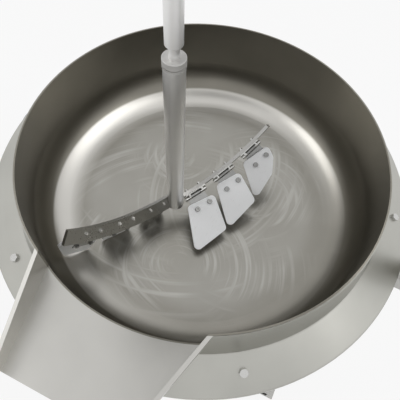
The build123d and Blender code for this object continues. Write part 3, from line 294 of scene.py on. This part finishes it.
def make_bowl_finish():
    material, tree, shader, place = new_material("polished_bowl_steel")
    angle, radius, height = around_axis(tree, place)
    grain = noise(tree, turned_track(tree, angle, radius, height, bowl_lines), 1.0, detail=3.0)
    on_bottom = steps(tree, radius, *disc_work)
    arcs = 0.0
    for centre, fineness, offset in scratch_sets:
        arcs = math_node(tree, "MAXIMUM", arcs, disc_scratches(tree, place, centre, fineness, offset))
    arcs = times(tree, arcs, on_bottom)
    cloud = steps(tree, noise(tree, place, 4.0, detail=3.0), 0.3, 0.7)
    wall = blend_colours(tree, cloud, *shaded_wall_tones)
    bottom = blend_colours(tree, cloud, *bottom_tones)
    # painted shade: darker steel on the walls than on the bottom
    base = blend_colours(tree, on_bottom, wall, bottom)
    base = blend_colours(tree, times(tree, arcs, 0.28), base, scratch_tone)
    # painted highlight in the corner between wall and bottom, faded towards the far side
    highlight_band = times(tree, steps(tree, radius, *corner_outside), steps(tree, radius, *corner_inside))
    turned = math_node(tree, "COSINE", math_node(tree, "SUBTRACT", angle, highlight_side))
    highlight_band = times(tree, highlight_band, steps(tree, turned, -0.8, 0.35, 0.12, 1.0))
    base = blend_colours(tree, highlight_band, base, painted_highlight_tone)
    shader.inputs["Metallic"].default_value = 1.0
    tree.links.new(base, shader.inputs["Base Color"])
    tree.links.new(blend_values(tree, grain, 0.25, 0.36), shader.inputs["Roughness"])
    set_bump(tree, shader, plus(tree, grain, times(tree, arcs, 0.5)), 0.10, line_relief)
    return material


bowl_finish = make_bowl_finish()
print("made", bowl_finish.name)

# %% [markdown]
# ## Plastic, paint, bronze and wool
#
# The scrapers are white plastic sheet, sawn and lightly scratched by use. Castings and
# the motor are painted, bushes and valves are bronze, and the wool between jacket and
# shell is only ever seen in a cut. Each has its own grain, at its own size.

# %% Mottled finishes
grain_relief = 0.0003        # metres


def mottled(name, colour, second, roughness, grain_size, depth, metallic=0.0, coat=0.0):
    """Two close colours in patches and a fine grain, for paint, castings, bronze and plastic."""
    material, tree, shader, place = new_material(name)
    patches = noise(tree, place, 14.0, detail=4.0)
    grain = noise(tree, place, grain_size, detail=3.0)
    tone = blend_colours(tree, steps(tree, patches, 0.35, 0.65), colour + (1.0,), second + (1.0,))
    tree.links.new(tone, shader.inputs["Base Color"])
    spread = blend_values(tree, grain, roughness * 0.85, roughness * 1.15)
    tree.links.new(spread, shader.inputs["Roughness"])
    shader.inputs["Metallic"].default_value = metallic
    shader.inputs["Coat Weight"].default_value = coat
    set_bump(tree, shader, grain, depth, grain_relief)
    return material


paint_finish = mottled(
    "grey_machine_paint", (0.34, 0.37, 0.39), (0.31, 0.34, 0.36), 0.4, 500, 0.15, coat=0.3
)
cast_finish = mottled(
    "sintered_collar", (0.66, 0.65, 0.63), (0.50, 0.49, 0.47), 0.5, 420, 0.7, metallic=0.7
)
bronze_finish = mottled(
    "turned_bronze", (0.62, 0.45, 0.24), (0.55, 0.38, 0.20), 0.3, 300, 0.2, metallic=1.0
)
wool_finish = mottled("mineral_wool", (0.62, 0.55, 0.36), (0.52, 0.45, 0.28), 0.95, 160, 1.0)
black_finish = mottled("black_grip_plastic", (0.03, 0.03, 0.03), (0.04, 0.04, 0.04), 0.35, 700, 0.2)
print("finishes made:", len(bpy.data.materials))

# %% Scraper plastic
scraper_tones = (0.93, 0.935, 0.94, 1), (0.90, 0.905, 0.91, 1)
scraper_scratch = (0.62, 0.62, 0.60, 1)
scratch_lines = (420, 60, 120)
light_depth = 0.004          # metres that light travels inside the plastic


def make_scraper_finish():
    material, tree, shader, place = new_material("white_scraper_plastic")
    cloud = noise(tree, place, 9.0, detail=4.0)
    scratch = noise(tree, scaled(tree, place, scratch_lines), 1.0)
    tone = blend_colours(tree, steps(tree, cloud, 0.3, 0.7), *scraper_tones)
    marks = times(tree, steps(tree, scratch, 0.62, 0.75), 0.25)
    tree.links.new(blend_colours(tree, marks, tone, scraper_scratch), shader.inputs["Base Color"])
    tree.links.new(blend_values(tree, scratch, 0.42, 0.6), shader.inputs["Roughness"])
    shader.inputs["Subsurface Weight"].default_value = 0.15
    shader.inputs["Subsurface Radius"].default_value = (light_depth, light_depth, light_depth)
    set_bump(tree, shader, scratch, 0.15, grain_relief)
    return material


scraper_finish = make_scraper_finish()
print("made", scraper_finish.name)

# %% [markdown]
# ## Which piece has which finish
#
# One table gives every piece its finish. Looping over the table and checking that no
# piece is left over is safer than assigning them one at a time.

# %% Finishes on the pieces
scraper_names = [f"scraper_{side}_{number}" for side in ("right", "left") for number in (1, 2, 3)]
leaf_names = [name.replace("scraper_", "scraper_leaf_") for name in scraper_names]
finish_table = (
    (bowl_finish, ["inner_bowl"]),
    (apron_finish, ["rim_apron"]),
    (spout_finish, ["pouring_spout"]),
    (shell_finish, ["outer_cladding", "apron_brackets", "head_housing"]),
    (jacket_finish, ["steam_jacket"]),
    (wool_finish, ["insulation"]),
    (bolt_finish, ["apron_bolts", "hinge_bolts", "pressure_gauge"]),
    (shaft_finish, ["stirrer_shaft", "upper_sleeve"]),
    (cast_finish, ["collar_ring"]),
    (bar_finish, ["stirrer_arms"]),
    (hinge_finish, ["arm_hinge_leaves", "hinge_pins"]),
    (leaf_finish, leaf_names),
    (scraper_finish, scraper_names),
    (column_finish, ["lift_post", "lift_tube", "lift_rod"]),
    (beam_finish, ["arm_beam", "stub_beam", "trunnions"]),
    (frame_finish, ["base_frame", "anchor_plates", "pedestals", "jacket_pipes", "steam_inlet_flange"]),
    (frame_finish, ["steam_valve_lever", "condensate_valve_lever", "safety_valve_lever"]),
    (hinge_finish, ["worm_shaft", "handwheel"]),
    (gear_finish, ["ring_gear", "planet_gear", "planet_carrier"]),
    (bronze_finish, ["carrier_bearing", "post_bush", "worm_wheel", "ball_valve_bodies", "safety_valve"]),
    (paint_finish, ["trunnion_bearings", "tilt_gear_case", "head_gearbox", "motor", "motor_fan_cover"]),
    (paint_finish, ["lift_cylinder"]),
    (black_finish, ["handwheel_grip"]),
)
finished = set()
for finish, names in finish_table:
    for name in names:
        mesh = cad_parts[name].data
        mesh.materials.clear()
        mesh.materials.append(finish)
        finished.add(name)
print("pieces without a finish:", sorted(set(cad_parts) - finished))

# %% [markdown]
# ## Small fittings
#
# The construction model stops at the main shapes. What makes a machine look built is
# the next size down: screw heads on its covers, and a gauge with a face. Each is modelled
# around the origin with +Z pointing out of the surface, and a matrix takes it to its place.

# %% Piece helpers
def finished_piece(name, shape, finish, body, smooth_angle=40.0):
    """Turn a bmesh into an object that rides on a body."""
    bmesh.ops.recalc_face_normals(shape, faces=shape.faces)
    mesh = bpy.data.meshes.new(name)
    shape.to_mesh(mesh)
    shape.free()
    mesh.materials.append(finish)
    mesh.shade_smooth()
    mesh.set_sharp_from_angle(angle=math.radians(smooth_angle))
    piece = bpy.data.objects.new(name, mesh)
    bpy.context.scene.collection.objects.link(piece)
    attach(piece, body)
    print(name, len(mesh.polygons), "faces")


def facing_out(place, direction):
    """Matrix that puts the origin at a place with +Z along a direction."""
    aim = Vector(direction).to_track_quat("Z", "Y").to_matrix().to_4x4()
    return Matrix.Translation(place) @ aim


def ring_places(centre, direction, radius, count, start=0.0):
    """Places on a circle around a direction, each facing that way."""
    base = facing_out(centre, direction)
    for i in range(count):
        angle = start + 2 * math.pi * i / count
        yield base @ Matrix.Translation((radius * math.cos(angle), radius * math.sin(angle), 0))


# %% Hexagon heads
head_bevel = 0.06            # share of the width across flats
head_smooth_angle = 25.0
same_level = 1e-6


def add_hexagon(shape, matrix, flats, height):
    """One hexagon head with its upper edges turned off."""
    radius = flats / 2 / math.cos(math.pi / 6)
    lift = Matrix.Translation((0, 0, height / 2))
    made = bmesh.ops.create_cone(
        shape, segments=6, radius1=radius, radius2=radius, depth=height, cap_ends=True,
        matrix=matrix @ lift,
    )
    to_head = matrix.inverted()
    top = max((to_head @ vertex.co).z for vertex in made["verts"])
    rim = [
        edge for edge in {e for vertex in made["verts"] for e in vertex.link_edges}
        if all((to_head @ vertex.co).z > top - same_level for vertex in edge.verts)
    ]
    bmesh.ops.bevel(
        shape, geom=rim, affect="EDGES", offset=flats * head_bevel, segments=2, profile=0.5,
        material=-1,
    )


def hexagon_set(name, matrices, flats, height, body):
    shape = bmesh.new()
    for matrix in matrices:
        add_hexagon(shape, matrix, flats, height)
    finished_piece(name, shape, bolt_finish, body, head_smooth_angle)


# %% [markdown]
# ## Screws of the drive and the tilting gear
#
# Each ring or row of screws is placed from the box of the piece that it holds, so it
# follows the construction model if that changes. The heads sink a hair into the surface.

# %% Screws of the drive
up = (0, 0, 1)
down = (0, 0, -1)
sink = 0.0003
cover_flats = 0.013          # width across flats of the screws on covers and flanges
cover_height = 0.008

gearbox_flange = 0.014       # thickness
gearbox_inset = 0.011        # screws in from the flange's edge
gearbox_low, gearbox_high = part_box("head_gearbox")
gearbox_centre = Vector((0, 0, gearbox_low.z + gearbox_flange - sink))
gearbox_places = ring_places(gearbox_centre, up, gearbox_high.x - gearbox_inset, 8)
hexagon_set("gearbox_screws", gearbox_places, cover_flats, cover_height, "lift")

tube_flange = 0.012
tube_ring = 0.047
tube_low, tube_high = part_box("lift_tube")
tube_centre = Vector(((tube_low.x + tube_high.x) / 2, 0, tube_high.z - tube_flange + sink))
tube_places = ring_places(tube_centre, down, tube_ring, 6, math.pi / 6)
hexagon_set("lift_tube_screws", tube_places, cover_flats, cover_height, "lift")

# %% [markdown]
# The screws in the bearings' feet have low heads, because the stub beam of the lifting
# column passes three millimetres above one foot when the kettle is tilted.

# %% Screws of the tilting gear
foot_thickness = 0.012
foot_end_inset = 0.017
foot_side_inset = 0.011
foot_flats = 0.016
foot_head_height = 0.0025
foot_low, foot_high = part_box("trunnion_bearings")
foot_x = foot_high.x - foot_end_inset
foot_y = foot_high.y - foot_side_inset
foot_z = foot_low.z + foot_thickness - sink
foot_places = [
    facing_out((side * foot_x, end * foot_y, foot_z), up) for side in (-1, 1) for end in (-1, 1)
]
hexagon_set("bearing_foot_screws", foot_places, foot_flats, foot_head_height, "base")

tilt_level = 0.82
case_ring = 0.053
case_flats = 0.008
case_height = 0.005
case_low, case_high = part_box("tilt_gear_case")
case_centre = Vector((case_low.x + sink, 0, tilt_level))
case_places = ring_places(case_centre, (-1, 0, 0), case_ring, 6)
hexagon_set("gear_case_screws", case_places, case_flats, case_height, "base")

# %% [markdown]
# ## Face of the pressure gauge
#
# The gauge case is ready, and what it lacks is the thing people look at. The dial is a
# white disc with a ring of short dark strokes, and the needle turns on a small hub.
# Everything is built straight in the gauge's own frame, whose +Z points out of its face.

# %% Gauge dial
gauge_angle = math.radians(122)
gauge_distance = 0.653       # from the kettle's axis to the face
gauge_level = 0.8
gauge_out = Vector((math.cos(gauge_angle), math.sin(gauge_angle), 0))
gauge_frame = facing_out(gauge_out * gauge_distance + Vector((0, 0, gauge_level)), gauge_out)
dial_radius = 0.0385
dial_thickness = 0.0008
dial_finish = mottled("gauge_dial_white", (0.85, 0.85, 0.83), (0.82, 0.82, 0.80), 0.5, 300, 0.05)


def raised(level):
    """The gauge's frame, lifted off its face."""
    return gauge_frame @ Matrix.Translation((0, 0, level))


def add_disc(shape, matrix, radius, thickness, segments=48):
    lift = Matrix.Translation((0, 0, thickness / 2))
    bmesh.ops.create_cone(
        shape, segments=segments, radius1=radius, radius2=radius, depth=thickness, cap_ends=True,
        matrix=matrix @ lift,
    )


dial_shape = bmesh.new()
add_disc(dial_shape, raised(-sink), dial_radius, dial_thickness)
finished_piece("gauge_dial", dial_shape, dial_finish, "kettle")

# %% Gauge strokes and needle
stroke_count = 25
strokes_per_number = 4       # every fourth stroke is a long one
first_stroke = -45.0         # degrees, and the scale covers three quarters of a turn
scale_sweep = 270.0
stroke_outside = 0.035
long_stroke = 0.007
short_stroke = 0.004
stroke_width = 0.0011
stroke_thickness = 0.0003
marks_level = 0.0004
needle_angle = 225.0
needle_level = 0.0010
needle_tail = 0.008          # how far it reaches behind the hub
needle_tip = 0.028
needle_width = 0.0018
needle_thickness = 0.0008
hub_radius = 0.004
hub_thickness = 0.0018


def add_bar(shape, matrix, start, end, width, thickness):
    """Flat bar along X, from one distance to another."""
    middle = Matrix.Translation(((start + end) / 2, 0, thickness / 2))
    size = Matrix.Diagonal((end - start, width, thickness, 1))
    bmesh.ops.create_cube(shape, size=1, matrix=matrix @ middle @ size)


def about_gauge(degrees, level):
    turn = Matrix.Rotation(math.radians(degrees), 4, "Z")
    return gauge_frame @ turn @ Matrix.Translation((0, 0, level))


mark_shape = bmesh.new()
for stroke in range(stroke_count):
    place = about_gauge(first_stroke + scale_sweep * stroke / (stroke_count - 1), marks_level)
    length = short_stroke if stroke % strokes_per_number else long_stroke
    add_bar(mark_shape, place, stroke_outside - length, stroke_outside, stroke_width, stroke_thickness)
needle_place = about_gauge(needle_angle, needle_level)
add_bar(mark_shape, needle_place, -needle_tail, needle_tip, needle_width, needle_thickness)
add_disc(mark_shape, raised(marks_level), hub_radius, hub_thickness, segments=24)
finished_piece("gauge_marks", mark_shape, black_finish, "kettle")

# %% [markdown]
# ## Floor
#
# Steel looks like the room it stands in, so the room matters more than the lamps. The
# floor is a plain pale sheet, far larger than the kettle, so that metal finds no edge.

# %% Floor
floor_tone = (0.86, 0.86, 0.86, 1)
floor_roughness = 0.8
floor_size = 9

floor_material = bpy.data.materials.new("pale_floor")
floor_material.use_nodes = True
floor_shader = floor_material.node_tree.nodes["Principled BSDF"]
floor_shader.inputs["Base Color"].default_value = floor_tone
floor_shader.inputs["Roughness"].default_value = floor_roughness

floor_mesh = bpy.data.meshes.new("floor")
floor_shape = bmesh.new()
bmesh.ops.create_grid(floor_shape, x_segments=1, y_segments=1, size=floor_size)
floor_shape.to_mesh(floor_mesh)
floor_shape.free()
floor_mesh.materials.append(floor_material)
floor = bpy.data.objects.new("floor", floor_mesh)
bpy.context.scene.collection.objects.link(floor)
print("floor", floor_size * 2, "m wide")

# %% [markdown]
# ## A white room that lights softly
#
# The eye and the metal should both see a white room, but a room that bright would also
# wash out every shadow. So the world has two strengths: one for rays that look at it
# straight or in a mirror, and a lower one for the light that it casts. The floor is
# lifted towards white in the same way, and keeps some of its shadow.

# %% Room light
sky_tone = (0.985, 0.99, 1.0, 1)
sky_seen = 1.0
sky_cast = 0.55
floor_glow = 0.85


def seen_directly(tree):
    """1 for camera, glossy and transmission rays, so that metal shows the same room as the eye."""
    path = tree.nodes.new("ShaderNodeLightPath")
    total = plus(tree, path.outputs["Is Camera Ray"], path.outputs["Is Glossy Ray"])
    return math_node(tree, "ADD", total, path.outputs["Is Transmission Ray"], clamp=True)


world = bpy.data.worlds.new("pale_room")
bpy.context.scene.world = world
world.use_nodes = True
sky_tree = world.node_tree
background = sky_tree.nodes["Background"]
background.inputs[0].default_value = sky_tone
sky_level = blend_values(sky_tree, seen_directly(sky_tree), sky_cast, sky_seen)
sky_tree.links.new(sky_level, background.inputs[1])

floor_tree = floor_material.node_tree
glow = floor_tree.nodes.new("ShaderNodeEmission")
glow_share = times(floor_tree, seen_directly(floor_tree), floor_glow)
floor_mix = add(floor_tree, "MixShader", {0: glow_share})
floor_tree.links.new(floor_shader.outputs[0], floor_mix.inputs[1])
floor_tree.links.new(glow.outputs[0], floor_mix.inputs[2])
floor_tree.links.new(floor_mix.outputs[0], floor_tree.nodes["Material Output"].inputs["Surface"])
print("room seen at", sky_seen, "and lighting at", sky_cast)

# %% [markdown]
# ## Lamps
#
# Two large soft lamps draw the long highlights in the bowl. The stronger one stands for
# a window on the far right, and the weaker one for a strip light on the left.

# %% Lamps
lamp_target = Vector((0, 0, 0.9))


def soft_lamp(name, place, size, power):
    data = bpy.data.lights.new(name, "AREA")
    data.shape = "RECTANGLE"
    data.size, data.size_y = size
    data.energy = power
    lamp = bpy.data.objects.new(name, data)
    lamp.location = place
    lamp.rotation_euler = (lamp_target - Vector(place)).to_track_quat("-Z", "Y").to_euler()
    bpy.context.scene.collection.objects.link(lamp)


soft_lamp("window_side", (2.4, 0.8, 4.2), (3.2, 2.6), 42)
soft_lamp("ceiling_strip", (-2.6, -0.6, 3.8), (2.0, 1.4), 24)
bpy.context.scene.view_settings.view_transform = "Standard"
print("lamps:", len(bpy.data.lights))
